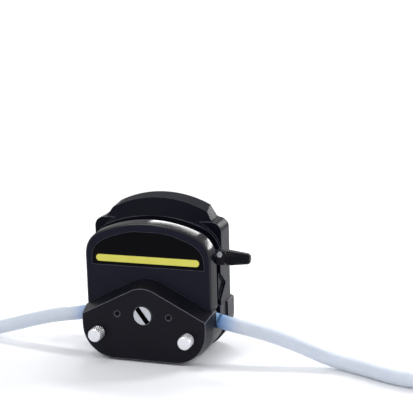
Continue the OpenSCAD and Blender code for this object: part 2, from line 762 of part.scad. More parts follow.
module rear_casing() {
    inner = wall;
    color(black) difference() {
        union() {
            slab(casing_y, casing_back_y) arch(casing_half_w, casing_top, 100, 21, -20);
            slab(casing_back_y - lobe_depth, casing_back_y) lobed_outline();
            intersection() {
                union() {
                    slab(casing_y, casing_back_y) dome_flanks();
                    slab(casing_back_y - lobe_depth, casing_back_y) saddle_outline();
                }
                dome_crown();
            }
        }
        slab(casing_y - 1, 1) under_roof(roof_r + gap);
        // hollow inside
        difference() {
            union() {
                slab(casing_y + inner, casing_back_y - 2.2)
                    arch(casing_half_w - inner, casing_top - inner, 100 - inner, 21 - inner, -20);
                slab(casing_back_y - lobe_depth + inner, casing_back_y - 2.2) mirrored()
                    polygon([
                        [0, 0], [casing_half_w - 10, 0], [casing_half_w - 10, lobe_top - 3.6],
                        flank_foot - [5.7, 2.6], flank_edge - [10.7, 3.3],
                        [13, dome_top - 8.4], [0, dome_top - 8.4]
                    ]);
            }
            rod(0, lever_z, axle_boss_d, casing_y, cam_y[0] - 0.6);
            mirrored() {
                translate([post_x, post_y, 0]) cylinder(d = post_bush_d + 4, h = bush_z[1]);
                translate([post_x - 4, post_y, 0]) cube([8, -post_y, bush_z[1]]);
            }
        }
        rod(0, lever_z, axle_bush_d, casing_y - 1, cam_y[0]);
        mirrored() {
            translate([post_x, post_y, -20]) cylinder(d = post_bush_d, h = bush_z[1] + 30);
            rod(spacer_spot[0], spacer_spot[1], cover_screw_d, casing_y - 1, casing_y + wall + 1);
            side_relief();
        }
        // seat of the bed and the upper jaws
        translate([-bed_half_w, casing_y - 1, 0]) cube([2 * bed_half_w, bed_y[1] - casing_y + 1, bed_top]);
        mirrored() translate([bed_half_w - 1, casing_y - 1, -9])
            cube([jaw_w + 1, bed_y[1] - casing_y + 1, upper_jaw_top + 9]);
    }
}

post_bush_d = post_d + 3;
bush_z = [8, 30];
module post_bushes() {
    color("#b08d57") difference() {
        mirrored() translate([post_x, post_y, 0]) difference() {
            cylinder(d = post_bush_d, h = bush_z[1]);
            translate([0, 0, -1]) cylinder(d = post_d + 0.1, h = 60);
        }
        slab(casing_y, 1) under_roof(roof_r + gap);
    }
}

module cover_screws() {
    color(steel) mirrored() {
        rod(spacer_spot[0], spacer_spot[1], cover_screw_d, nose_y + wall + 1, casing_y + wall);
        rod(spacer_spot[0], spacer_spot[1], 2 * cover_screw_d, casing_y + wall, casing_y + wall + 2.5);
    }
}

module slot_spacers() {
    color(steel) mirrored() difference() {
        rod(spacer_spot[0], spacer_spot[1], spacer_d, cover_back_y, casing_y);
        rod(spacer_spot[0], spacer_spot[1], cover_screw_d, cover_back_y - 1, casing_y + 1);
    }
}

module axle_bush(y) {
    color("#b08d57") difference() {
        rod(0, lever_z, axle_bush_d, y[0], y[1]);
        rod(0, lever_z, lever_shaft_d + 0.1, y[0] - 1, y[1] + 1);
    }
}

module front_axle_bush() { axle_bush([nose_y + wall + 1, cover_back_y - 0.6]); }
module rear_axle_bush() { axle_bush([casing_y, cam_y[0] - 0.6]); }

// ---------- lever ----------

arm_y = [cover_back_y + 0.5, casing_y - 0.5];
arm_w = 11;
tang_w = 7;
tang_len = 12;
arm_screw_d = 4.4;
arm_screw_x = cover_half_w + arm_screw_d / 2 + 0.7;
arm_screw_z = lever_z + 3;

module lever_shaft() {
    color(steel) rod(0, lever_z, lever_shaft_d, nose_y + wall + 1.2, cam_y[1] - groove_t - 0.5);
}

// Snail cam with a spiral groove in its rear face for the follower pin
module cam_disc() {
    rim = follower_d / 2 + groove_gap + cam_rim;
    slot = follower_d / 2 + groove_gap;
    outer = [for (a = [-99 : 6 : 99]) a];
    inner = [for (a = [-90 : 6 : 90]) a];
    color("#b9bbc0") difference() {
        slab(cam_y[0], cam_y[1]) translate([0, lever_z]) {
            circle(r = lever_shaft_d / 2 + 5.5);
            polygon(concat([[0, 0]],
                [for (a = outer) (groove_r(a) + rim) * [cos(a), sin(a)]]));
            rotate(99) translate([0, -4]) square([groove_r(99) + rim - 1, 7]);
        }
        slab(cam_y[1] - groove_t, cam_y[1] + 1) translate([0, lever_z]) {
            polygon(concat(
                [for (a = inner) (groove_r(a) + groove_w(a)) * [cos(a), sin(a)]],
                [for (i = [len(inner) - 1 : -1 : 0])
                    let (a = inner[i]) (groove_r(a) - groove_w(a)) * [cos(a), sin(a)]]));
            for (a = [-90, 90]) rotate(a) translate([groove_r(a), 0]) circle(slot + 0.1);
        }
        rod(0, lever_z, lever_shaft_d, cam_y[0] - 1, cam_y[1] - groove_t - 0.5);
    }
}

module lever_arm() {
    color(steel) difference() {
        slab(arm_y[0], arm_y[1]) translate([0, lever_z]) {
            circle(d = lever_shaft_d + 9);
            translate([0, -arm_w / 2]) square([grip_start - 1, arm_w]);
            translate([grip_start - 2, -tang_w / 2]) square([tang_len, tang_w]);
        }
        rod(0, lever_z, lever_shaft_d, arm_y[0] - 1, arm_y[1] + 1);
        rod(arm_screw_x, arm_screw_z, 2.5, arm_y[0] - 1, arm_y[1] - 1);
    }
}

module lever_grip() {
    mid_y = (arm_y[0] + arm_y[1]) / 2;
    edge = 1.2;
    color(black) difference() {
        translate([0, mid_y, lever_z]) rotate([0, 90, 0]) {
            translate([0, 0, grip_start]) cylinder(d1 = grip_d, d2 = grip_end_d, h = grip_len - edge);
            translate([0, 0, grip_start + grip_len - edge])
                cylinder(d1 = grip_end_d, d2 = grip_end_d - 2 * edge, h = edge);
        }
        translate([grip_start - 2, arm_y[0], lever_z - tang_w / 2])
            cube([tang_len, arm_y[1] - arm_y[0], tang_w]);
    }
}

// Screw in the arm's front face, just outside the cover's swing circle
module arm_screw() {
    color(steel) difference() {
        union() {
            rod(arm_screw_x, arm_screw_z, 2.5, arm_y[0] - 0.4, arm_y[1] - 1.2);
            rod(arm_screw_x, arm_screw_z, arm_screw_d, arm_y[0] - 1.7, arm_y[0]);
        }
        translate([arm_screw_x, arm_y[0] - 0.9, arm_screw_z]) rotate([90, 0, 0])
            cylinder(d = 2.3, h = 9, $fn = 6);
    }
}

pump_body();
rear_bracket();
bracket_screws();
bearing_plate();
face_screws();
front_bearing();
rear_bearing();
guide_posts();
crossbar();
crossbar_caps();
follower_pin();
tube_middle();
left_tube();
right_tube();
left_lower_jaw();
right_lower_jaw();
left_knob();
right_knob();
rotor_shaft();
front_disc();
rear_disc();
roller_pins();
rotor_spacer();
roller_1();
roller_2();
roller_3();
front_cover();
label_plate();
label_strip();
occlusion_bed();
left_upper_jaw();
right_upper_jaw();
rear_casing();
post_bushes();
cover_screws();
slot_spacers();
front_axle_bush();
rear_axle_bush();
lever_shaft();
cam_disc();
lever_arm();
lever_grip();
arm_screw();
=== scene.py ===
# Peristaltic pump head: finishes, smooth tube and turned parts, stage and light.
# Metres throughout, in the model's own frame: X right, Y back to the drive, Z up.
import math

import bpy
import numpy as np
from mathutils import Matrix, Quaternion, Vector


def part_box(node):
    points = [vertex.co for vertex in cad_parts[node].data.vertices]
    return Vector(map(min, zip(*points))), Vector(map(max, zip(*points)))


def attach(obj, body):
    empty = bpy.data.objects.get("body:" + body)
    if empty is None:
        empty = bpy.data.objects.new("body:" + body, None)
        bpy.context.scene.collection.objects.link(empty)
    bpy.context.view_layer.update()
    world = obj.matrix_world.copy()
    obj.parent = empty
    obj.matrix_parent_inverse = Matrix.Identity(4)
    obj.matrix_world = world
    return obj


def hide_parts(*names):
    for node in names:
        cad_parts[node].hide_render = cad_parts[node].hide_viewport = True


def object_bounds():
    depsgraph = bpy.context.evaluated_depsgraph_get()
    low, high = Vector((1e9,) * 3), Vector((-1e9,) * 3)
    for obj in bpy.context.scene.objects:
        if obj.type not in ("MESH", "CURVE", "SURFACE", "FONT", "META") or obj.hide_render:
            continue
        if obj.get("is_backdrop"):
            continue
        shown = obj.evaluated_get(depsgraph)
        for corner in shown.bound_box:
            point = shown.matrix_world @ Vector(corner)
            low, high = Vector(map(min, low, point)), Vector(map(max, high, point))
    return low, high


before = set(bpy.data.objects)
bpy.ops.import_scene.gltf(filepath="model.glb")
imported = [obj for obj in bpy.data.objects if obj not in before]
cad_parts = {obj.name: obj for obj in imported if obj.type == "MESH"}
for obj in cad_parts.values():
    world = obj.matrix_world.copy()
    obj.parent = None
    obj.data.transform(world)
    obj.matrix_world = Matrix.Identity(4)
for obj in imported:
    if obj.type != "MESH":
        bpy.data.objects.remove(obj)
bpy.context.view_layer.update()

mm = 0.001
print("stage 1: frame loaded,", len(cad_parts), "nodes")


# the camera: lens and sensor in mm, its place in metres and the directions it is turned by
cameraUse = {
    "lens": 104.5,
    "sensor": 36.0,
    "farClip": 60.0,
    "place": (0.32368, -0.86689, 0.28414),
    "right": (0.9493, 0.3136, -0.0238),
    "up": (-0.0474, 0.2175, 0.9749),
    "forward": (-0.3109, 0.9243, -0.2214),
}


def makeCamera(use):
    # its matrix has right, up and the opposite of forward as columns
    data = bpy.data.cameras.new("frontCamera")
    data.lens = use["lens"]
    data.sensor_width = use["sensor"]
    data.clip_end = use["farClip"]
    camera = bpy.data.objects.new("frontCamera", data)
    bpy.context.scene.collection.objects.link(camera)
    turn = Matrix((use["right"], use["up"], tuple(-c for c in use["forward"]))).transposed()
    camera.matrix_world = Matrix.Translation(Vector(use["place"])) @ turn.to_4x4()
    bpy.context.scene.camera = camera


makeCamera(cameraUse)


def gridPiece(name, points, closeRows=False, capEnds=False):
    # points is an array of rows x columns x 3, joined into quads; every row is a closed ring,
    # and the last row joins the first where closeRows says so, or capEnds covers both end rows
    rows, columns = points.shape[:2]
    index = np.arange(rows * columns).reshape(rows, columns)
    lower = index if closeRows else index[:-1]
    upper = np.roll(index, -1, axis=0) if closeRows else index[1:]
    nextLower, nextUpper = np.roll(lower, -1, axis=1), np.roll(upper, -1, axis=1)
    faces = np.stack([lower, nextLower, nextUpper, upper], axis=-1).reshape(-1, 4).tolist()
    if capEnds:
        faces += [index[0, ::-1].tolist(), index[-1].tolist()]
    mesh = bpy.data.meshes.new(name)
    mesh.from_pydata(points.reshape(-1, 3).tolist(), [], faces)
    mesh.validate()
    piece = bpy.data.objects.new(name, mesh)
    bpy.context.scene.collection.objects.link(piece)
    turnFacesOut(mesh)
    mesh.polygons.foreach_set("use_smooth", np.ones(len(mesh.polygons), dtype=bool))
    return piece


def turnFacesOut(mesh):
    # the signed volume is the sum of the triangles' a . (b x c) / 6:
    # where it is negative, every face turns over
    mesh.calc_loop_triangles()
    corners = np.empty(len(mesh.loop_triangles) * 3, dtype=np.int32)
    mesh.loop_triangles.foreach_get("vertices", corners)
    places = np.empty(len(mesh.vertices) * 3)
    mesh.vertices.foreach_get("co", places)
    a, b, c = places.reshape(-1, 3)[corners].reshape(-1, 3, 3).transpose(1, 0, 2)
    if np.einsum("ij,ij->i", a, np.cross(b, c)).sum() < 0:
        mesh.flip_normals()


cornerUse = {
    "steps": 5,
    "share": 0.45,
}


def roundCorners(profile, radius):
    # each inner corner of a profile is cut back on both sides, by the radius but no more than
    # a share of either side's length, and bridged by a quadratic curve
    out = [profile[0]]
    for before, corner, after in zip(profile[:-2], profile[1:-1], profile[2:]):
        back, ahead = before - corner, after - corner
        lengthBack, lengthAhead = np.linalg.norm(back), np.linalg.norm(ahead)
        cut = min(radius, cornerUse["share"] * lengthBack, cornerUse["share"] * lengthAhead)
        start, stop = corner + back / lengthBack * cut, corner + ahead / lengthAhead * cut
        for t in np.linspace(0, 1, cornerUse["steps"]):
            out.append((1 - t) ** 2 * start + 2 * t * (1 - t) * corner + t ** 2 * stop)
    out.append(profile[-1])
    return np.array(out)


def divided(profile, spacing):
    # points are added along the straight parts until none is longer than the spacing
    rows = [profile[:1]]
    for start, stop in zip(profile[:-1], profile[1:]):
        count = max(1, math.ceil(np.linalg.norm(stop - start) / spacing))
        rows.append(start + (stop - start) * np.linspace(0, 1, count + 1)[1:, None])
    return np.concatenate(rows)


def swept(name, along, reach, centre, axis, across, sides):
    # a turned piece: each profile point, so far along the axis, runs round it
    # at reach * (cos, sin) of the angle on two directions square to it
    angles = np.linspace(0, 2 * math.pi, sides, endpoint=False)
    axis, across = np.array(axis, dtype=float), np.array(across, dtype=float)
    ring = np.cos(angles)[:, None] * across + np.sin(angles)[:, None] * np.cross(axis, across)
    points = (np.array(centre) + along[..., None] * axis + reach[..., None] * ring[None]) * mm
    return gridPiece(name, points, capEnds=True)


def smoothPath(points, perSpan):
    # Catmull-Rom: on each span the curve leaves and arrives along half the chord of its neighbours
    points = np.array(points, dtype=float)
    first, last = 2 * points[0] - points[1], 2 * points[-1] - points[-2]
    whole = np.vstack([first, points, last])
    a, b, c, d = whole[:-3], whole[1:-2], whole[2:-1], whole[3:]
    t = np.linspace(0, 1, perSpan, endpoint=False)[None, :, None]
    a, b, c, d = (part[:, None, :] for part in (a, b, c, d))
    curve = 0.5 * (2 * b + (c - a) * t + (2 * a - 5 * b + 4 * c - d) * t ** 2
                   + (3 * b - a - 3 * c + d) * t ** 3)
    return np.vstack([curve.reshape(-1, 3), points[-1:]])


def evened(path, passes):
    # each pass moves every inner point to a quarter of its neighbours' sum plus half of itself
    for _ in range(passes):
        path[1:-1] = 0.25 * (path[:-2] + path[2:]) + 0.5 * path[1:-1]
    return path


def headings(path):
    # unit direction at each point from the points on both sides of it
    step = np.gradient(path, axis=0)
    return step / np.linalg.norm(step, axis=1)[:, None]


# the tube and its two free ends, in mm; perSpan is the curve's points to each span of a route
tubeUse = {
    "outer": 11.1,
    "bore": 7.9,
    "planeY": -36.0,
    "sides": 40,
    "perSpan": 4,
    "passes": 6,
}
# the route's points are [x, distance behind the tube's plane, z] in mm
leftRoute = [
    (-51.7, 0, -8.3), (-64, 0, -11.1), (-75, 0, -12.8), (-86, 0, -14.8), (-98, 0, -17.9),
    (-110, 0, -21.4), (-123, 0, -25.4), (-136, 0, -29.2), (-148, -1.5, -31.6),
    (-160, -5, -32.15), (-172, -11, -32.15), (-184, -17.5, -32.15), (-197, -23.5, -32.15),
    (-212, -27, -32.15), (-228, -28, -32.15), (-245, -28, -32.15), (-262, -28, -32.15),
    (-277.7, -24.9, -32.15), (-291, -16, -32.15), (-300, -2.7, -32.15), (-303, 13, -32.15),
    (-300, 28.7, -32.15), (-291, 42, -32.15), (-277.7, 50.9, -32.15), (-262, 54, -32.15),
    (-245, 54, -32.15), (-225, 54, -32.15), (-205, 54, -32.15), (-186, 54, -32.15),
]
rightRoute = [
    (51.7, 0, -8.3), (64, 0, -11.1), (76, 0, -13), (88, 0, -15.4), (102, 0, -19),
    (116, 0, -23.3), (130, -1, -28), (142, -2.2, -31), (153, -5, -32.15), (165, -10, -32.15),
    (177, -16, -32.15), (189, -21.5, -32.15), (202, -25, -32.15), (216, -26, -32.15),
    (231, -26, -32.15), (246, -26, -32.15), (262, -26, -32.15), (277.3, -23, -32.15),
    (290.3, -14.3, -32.15), (299, -1.3, -32.15), (302, 14, -32.15), (299, 29.3, -32.15),
    (290.3, 42.3, -32.15), (277.3, 51, -32.15), (262, 54, -32.15), (245, 54, -32.15),
    (228, 54, -32.15), (211, 54, -32.15),
]


def freeTube(name, route, node, use):
    # rings of the outer and the bore's radius are set square to the path; the rows run out
    # along the outside and back along the bore, so the wall and both cut ends close
    path = smoothPath(route, use["perSpan"])
    path[:, 1] += use["planeY"]
    path = evened(path, use["passes"]) * mm
    ahead = headings(path)
    side = np.cross(ahead, (0, 0, 1))
    side /= np.linalg.norm(side, axis=1)[:, None]
    up = np.cross(side, ahead)
    angles = np.linspace(0, 2 * math.pi, use["sides"], endpoint=False)[None, :, None]
    ring = np.cos(angles) * side[:, None, :] + np.sin(angles) * up[:, None, :]
    outside = path[:, None, :] + use["outer"] / 2 * mm * ring
    bore = path[:, None, :] + use["bore"] / 2 * mm * ring
    piece = gridPiece(name, np.concatenate([outside, bore[::-1]]), closeRows=True)
    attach(piece, "housing")
    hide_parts(node)
    return piece


leftTube = freeTube("leftTube", leftRoute, "left_tube", tubeUse)
rightTube = freeTube("rightTube", rightRoute, "right_tube", tubeUse)
print("stage 2: camera and tube ends placed")


# the squeezed tube inside the head, in mm and degrees
squeezeUse = {
    "flat": 3.0,
    "arcRadius": 22.7,
    "arcEnd": 28.0,
    "bendRadius": 33.0,
    "exitSlope": 13.0,
    "openingSpan": 28.0,
    "sideX": 51.7,
    "arcSteps": 40,
    "bendSteps": 36,
    "sides": 48,
}


def squeezedTube(use, tube):
    # the middle line is an arc over the rollers and a bend to each side, symmetrical about x = 0;
    # across it the tube is a slot shape of half thickness h whose wall keeps its length,
    # so the half width is h + pi (r - h) / 2, and h opens along a smooth step after the arc
    r = tube["outer"] / 2
    reach = use["arcRadius"] + use["bendRadius"]
    end = math.radians(use["arcEnd"])
    bendX, bendZ = reach * math.cos(end), reach * math.sin(end)
    span = 90 - use["exitSlope"] - use["arcEnd"]
    arc = np.radians(np.linspace(90, use["arcEnd"], use["arcSteps"]))
    line = np.stack([use["arcRadius"] * np.cos(arc), use["arcRadius"] * np.sin(arc)], axis=1)
    half = np.full(len(arc), use["flat"] / 2)
    bend = np.linspace(0, span, use["bendSteps"])[1:]
    turn = np.radians(180 + use["arcEnd"] + bend)
    bendLine = np.stack([bendX + use["bendRadius"] * np.cos(turn),
                         bendZ + use["bendRadius"] * np.sin(turn)], axis=1)
    opened = np.clip(bend / use["openingSpan"], 0, 1)
    bendHalf = use["flat"] / 2 + (r - use["flat"] / 2) * opened ** 2 * (3 - 2 * opened)
    lastX = use["sideX"]
    lastZ = bendLine[-1, 1] - (lastX - bendLine[-1, 0]) * math.tan(math.radians(use["exitSlope"]))
    line = np.vstack([line, bendLine, [[lastX, lastZ]]])
    half = np.concatenate([half, bendHalf, [r]])
    line = np.vstack([(line * (-1, 1))[:0:-1], line])
    half = np.concatenate([half[:0:-1], half])
    ahead = headings(line)
    up = np.stack([-ahead[:, 1], ahead[:, 0]], axis=1)
    # the rings start half a step round, so that no corner stands where the flat part begins
    sides = use["sides"]
    angles = np.linspace(0, 2 * math.pi, sides, endpoint=False) + math.pi / sides
    flatPart = math.pi * (r - half) / 2
    across = (np.sign(np.cos(angles))[None] * flatPart[:, None]
              + half[:, None] * np.cos(angles)[None])
    rise = half[:, None] * np.sin(angles)[None]
    points = np.stack([line[:, 0, None] + rise * up[:, 0, None],
                       tube["planeY"] + across,
                       line[:, 1, None] + rise * up[:, 1, None]], axis=2) * mm
    piece = gridPiece("squeezedTube", points, capEnds=True)
    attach(piece, "housing")
    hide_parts("tube_middle")
    return piece


middleTube = squeezedTube(squeezeUse, tubeUse)


# the two clamp knobs, in mm
knobUse = {
    "chamfer": 0.9,
    "neckLength": 1.1,
    "neckRadius": 4.7,
    "studRadius": 2.0,
    "frontY": -63.0,
    "clear": 0.3,
    "poleRadius": 0.5,
    "faceRing": 3.0,
    "edgeRound": 0.18,
    "spacing": 0.25,
    "sides": 216,
    "knurls": 18,
    "knurlPitch": 2.6,
    "knurlDepth": 0.8,
    "knurlFade": 0.4,
}


def clampKnob(name, node, body, use):
    # a turned profile whose widest part is knurled in diamonds: it is cut in by
    # depth * (1 - cos(knurls * angle) * cos(2 pi * distance / pitch)) / 2;
    # its ends are small flat discs of poleRadius, and its back stands clear of the housing
    low, high = (np.array(corner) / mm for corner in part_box(node))
    x, z = (low[0] + high[0]) / 2, (low[2] + high[2]) / 2
    radius = (high[0] - low[0]) / 2
    backFace = use["frontY"] - use["clear"] - low[1]
    end = high[1] - low[1]
    profile = [
        (0, use["poleRadius"]), (0, radius - use["faceRing"]), (0, radius - use["chamfer"]),
        (use["chamfer"], radius), (backFace - use["neckLength"], radius),
        (backFace - use["neckLength"], use["neckRadius"]), (backFace, use["neckRadius"]),
        (backFace, use["studRadius"]), (end, use["studRadius"]), (end, use["poleRadius"]),
    ]
    profile = divided(roundCorners(np.array(profile), use["edgeRound"]), use["spacing"])
    angles = np.linspace(0, 2 * math.pi, use["sides"], endpoint=False)[None]
    along, reach = profile[:, 0, None], profile[:, 1, None]
    widest = np.clip((reach - radius) / use["knurlFade"] + 1, 0, 1)
    waves = np.cos(use["knurls"] * angles) * np.cos(2 * math.pi * along / use["knurlPitch"])
    cut = (1 - waves) / 2
    piece = swept(name, along, reach - widest * use["knurlDepth"] * cut, (x, low[1], z),
                  (0, 1, 0), (1, 0, 0), use["sides"])
    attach(piece, body)
    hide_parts(node)
    return piece


leftKnob = clampKnob("leftKnob", "left_knob", "left_clamp_knob", knobUse)
rightKnob = clampKnob("rightKnob", "right_knob", "right_clamp_knob", knobUse)


# the lever's grip, in mm
gripUse = {
    "innerRadius": 6.2,
    "outerRadius": 4.2,
    "endRound": 1.4,
    "poleRadius": 0.5,
    "bevelLength": 0.5,
    "bevelDepth": 0.9,
    "grooveAt": 1.9,
    "groove": ((0.0, 0.1), (0.25, 0.45), (0.75, 0.5), (1.0, 0.2)),
    "edgeRound": 0.7,
    "sides": 80,
}


def leverGrip(use):
    # a turned profile: a bevelled inner end, a groove whose points are [distance past its start,
    # depth under the inner radius], and a taper to the rounded outer end
    low, high = (np.array(corner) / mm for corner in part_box("lever_grip"))
    y, z = (low[1] + high[1]) / 2, (low[2] + high[2]) / 2
    length = high[0] - low[0]
    inner, outer, pole = use["innerRadius"], use["outerRadius"], use["poleRadius"]
    profile = [
        (0, pole), (0, inner - use["bevelDepth"]), (use["bevelLength"], inner),
        *((use["grooveAt"] + past, inner - depth) for past, depth in use["groove"]),
        (length - use["endRound"], outer), (length, outer - use["endRound"]), (length, pole),
    ]
    profile = roundCorners(np.array(profile, dtype=float), use["edgeRound"])
    piece = swept("leverGrip", profile[:, 0, None], profile[:, 1, None], (low[0], y, z),
                  (1, 0, 0), (0, 1, 0), use["sides"])
    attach(piece, "lever")
    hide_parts("lever_grip")
    return piece


gripPiece = leverGrip(gripUse)


# the polished rim of the front cover, in mm
rimUse = {
    "halfWidth": 50.8,
    "top": 68.3,
    "crownRadius": 98.0,
    "cornerRadius": 20.0,
    "low": 3.2,
    "front": -48.5,
    "back": -36.15,
    "crown": 0.4,
    "crest": 0.75,
    "edgeRound": 1.2,
    "roundFrom": math.pi / 15,
    "sunk": 0.35,
    "proud": 0.02,
    "roundProud": 0.03,
    "underFront": 0.1,
    "sideSteps": 24,
    "cornerSteps": 40,
    "crownSteps": 60,
    "acrossSteps": 25,
    "roundSteps": 9,
}


def coverRim(use):
    # the path climbs the right side, rounds the corner, crosses the crown and comes down on the
    # left; across it, s runs from 1 at the back to -1 at the front, and the skin stands
    # crown * (1 - u * u) outside the cover, where u runs from 0 at the crest to 1 at either edge;
    # then comes a quarter circle over the front edge, and the skin is closed underneath
    corner, crown = use["cornerRadius"], use["crownRadius"]
    cornerX = use["halfWidth"] - corner
    cornerZ = use["top"] - crown + math.sqrt((crown - corner) ** 2 - cornerX ** 2)
    lean = math.asin(cornerX / (crown - corner))
    sideSteps = use["sideSteps"]
    side = np.linspace(use["low"], cornerZ, sideSteps)
    turnA = np.linspace(0, math.pi / 2 - lean, use["cornerSteps"])[1:]
    turnB = np.linspace(lean, 0, use["crownSteps"])[1:]
    place = np.concatenate([
        np.stack([np.full(sideSteps, use["halfWidth"]), side], axis=1),
        np.stack([cornerX + corner * np.cos(turnA), cornerZ + corner * np.sin(turnA)], axis=1),
        np.stack([crown * np.sin(turnB), use["top"] - crown + crown * np.cos(turnB)], axis=1),
    ])
    normal = np.concatenate([
        np.stack([np.ones(sideSteps), np.zeros(sideSteps)], axis=1),
        np.stack([np.cos(turnA), np.sin(turnA)], axis=1),
        np.stack([np.sin(turnB), np.cos(turnB)], axis=1),
    ])
    place = np.vstack([place, (place * (-1, 1))[-2::-1]])
    normal = np.vstack([normal, (normal * (-1, 1))[-2::-1]])
    along = np.linspace(1, -1, use["acrossSteps"])
    edge, sunk, crest = use["edgeRound"], use["sunk"], use["crest"]
    front, back, under = use["front"], use["back"], use["underFront"]
    quarter = np.linspace(use["roundFrom"], math.pi / 2, use["roundSteps"])
    fromCrest = (along - crest) / np.where(along < crest, 1 + crest, 1 - crest)
    lift = np.concatenate([
        use["crown"] * (1 - fromCrest ** 2) + use["proud"],
        (edge + use["roundProud"]) * np.cos(quarter) - edge,
        [-edge - sunk, -edge / 2, -sunk, -sunk],
    ])
    depth = np.concatenate([
        (front + back) / 2 + along * (back - front) / 2,
        front - (edge + use["roundProud"]) * np.sin(quarter),
        [front - edge + sunk, front - under, front + under, back],
    ])
    points = np.empty((len(place), len(depth), 3))
    points[..., 0] = place[:, 0, None] + normal[:, 0, None] * lift
    points[..., 1] = depth
    points[..., 2] = place[:, 1, None] + normal[:, 1, None] * lift
    piece = gridPiece("coverRim", points * mm, capEnds=True)
    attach(piece, "casing")
    return piece


rimPiece = coverRim(rimUse)
print("stage 3: tube, knobs, grip and rim made")


# noiseRange holds nearly all values of one noise texture, and twoNoises those of two in a sum;
# a bevelled normal and the face's own agree to flatFace on a flat and to roundEdge on an edge;
# the spreads widen the roughness, and lineDepth is a scratch's depth as a share of its width
finishUse = {
    "bevelSamples": 6,
    "noiseRange": (0.3, 0.7),
    "twoNoises": (0.7, 1.3),
    "flatFace": 0.995,
    "roundEdge": 0.80,
    "mouldedSpread": (-0.04, 0.04),
    "turnedSpread": (0.7, 1.4),
    "brushedSpread": (0.75, 1.25),
    "lineDepth": 0.2,
}


def linear(hexColour):
    # an sRGB hex colour as the linear numbers that the shader takes
    parts = np.array([int(hexColour[i:i + 2], 16) / 255 for i in (1, 3, 5)])
    curve = np.where(parts <= 0.04045, parts / 12.92, ((parts + 0.055) / 1.055) ** 2.4)
    return (*curve.tolist(), 1.0)


def addNode(tree, kind, inputs=None, **settings):
    # one node with its settings; an input is a plain value or another node's output
    node = tree.nodes.new(kind)
    for name, value in settings.items():
        setattr(node, name, value)
    for name, value in (inputs or {}).items():
        if isinstance(value, bpy.types.NodeSocket):
            tree.links.new(value, node.inputs[name])
        else:
            node.inputs[name].default_value = value
    return node


def newFinish(name, sockets):
    # one principled shader with these socket values, and the Object coordinates for its patterns
    material = bpy.data.materials.new(name)
    material.use_nodes = True
    tree = material.node_tree
    tree.nodes.clear()
    shader = addNode(tree, "ShaderNodeBsdfPrincipled", sockets)
    addNode(tree, "ShaderNodeOutputMaterial", {"Surface": shader.outputs["BSDF"]})
    place = addNode(tree, "ShaderNodeTexCoord").outputs["Object"]
    return material, tree, shader, place


def glossNode(tree, noise, span, roughness):
    # the roughness runs between two values while the noise runs over its span
    return addNode(tree, "ShaderNodeMapRange", {
        "Value": noise, "From Min": span[0], "From Max": span[1],
        "To Min": roughness[0], "To Max": roughness[1]}).outputs["Result"]


def mouldedPlastic(name, look):
    # moulded plastic: a fine spark-eroded grain, faint cloudy gloss from the mould, and a painted
    # highlight: edges painted paler, standing in for light caught along them
    material, tree, shader, place = newFinish(name, {
        "IOR": look["ior"], "Specular IOR Level": look["shine"]})
    grain = addNode(tree, "ShaderNodeTexNoise", {
        "Vector": place, "Scale": 1 / (look["grain"] * mm), "Detail": 3.0, "Roughness": 0.6})
    cloud = addNode(tree, "ShaderNodeTexNoise", {
        "Vector": place, "Scale": 1 / (look["cloud"] * mm), "Detail": 2.0})
    rounded = addNode(tree, "ShaderNodeBevel", {
        "Radius": look["edge"] * mm}, samples=finishUse["bevelSamples"])
    face = addNode(tree, "ShaderNodeNewGeometry")
    straight = addNode(tree, "ShaderNodeVectorMath", {
        0: rounded.outputs["Normal"], 1: face.outputs["Normal"]}, operation="DOT_PRODUCT")
    # painted highlight: where the bevelled normal turns away from the face's own, the colour is
    # painted towards the paler edge colour, standing in for light caught on the edge
    edgeHighlight = addNode(tree, "ShaderNodeMapRange", {
        "Value": straight.outputs["Value"], "From Min": finishUse["flatFace"],
        "From Max": finishUse["roundEdge"], "To Min": 0.0, "To Max": look["edgeHighlight"]})
    body = addNode(tree, "ShaderNodeMix", {
        "Factor": cloud.outputs["Fac"], "A": linear(look["dark"]), "B": linear(look["light"])},
        data_type="RGBA")
    edgeLit = addNode(tree, "ShaderNodeMix", {
        "Factor": edgeHighlight.outputs["Result"], "A": body.outputs[2],
        "B": linear(look["edgeHighlightColour"])}, data_type="RGBA")
    tree.links.new(edgeLit.outputs[2], shader.inputs["Base Color"])
    finish = glossNode(tree, cloud.outputs["Fac"], finishUse["noiseRange"],
                       [look["rough"] + more for more in finishUse["mouldedSpread"]])
    if "handled" in look:
        # hands polish the shoulders: from |x| = handledFrom to handledTo
        # the roughness runs to handled
        parts = addNode(tree, "ShaderNodeSeparateXYZ", {"Vector": place})
        sideways = addNode(tree, "ShaderNodeMath", {0: parts.outputs["X"]}, operation="ABSOLUTE")
        share = addNode(tree, "ShaderNodeMapRange", {
            "Value": sideways.outputs[0], "From Min": look["handledFrom"] * mm,
            "From Max": look["handledTo"] * mm}, interpolation_type="SMOOTHSTEP")
        finish = addNode(tree, "ShaderNodeMix", {
            "Factor": share.outputs["Result"], "A": finish, "B": look["handled"]}).outputs[0]
    tree.links.new(finish, shader.inputs["Roughness"])
    slope = rounded.outputs["Normal"]
    if "lean" in look:
        # the gloss is that of a rim drafted towards the front:
        # the normal plus lean times the way forward
        leaned = addNode(tree, "ShaderNodeVectorMath", {
            0: slope, 1: (0, -look["lean"], 0)}, operation="ADD")
        slope = addNode(tree, "ShaderNodeVectorMath", {
            0: leaned.outputs[0]}, operation="NORMALIZE").outputs[0]
    bump = addNode(tree, "ShaderNodeBump", {
        "Height": grain.outputs["Fac"], "Strength": look["bump"], "Distance": look["grain"] * mm,
        "Normal": slope})
    tree.links.new(bump.outputs["Normal"], shader.inputs["Normal"])
    return material


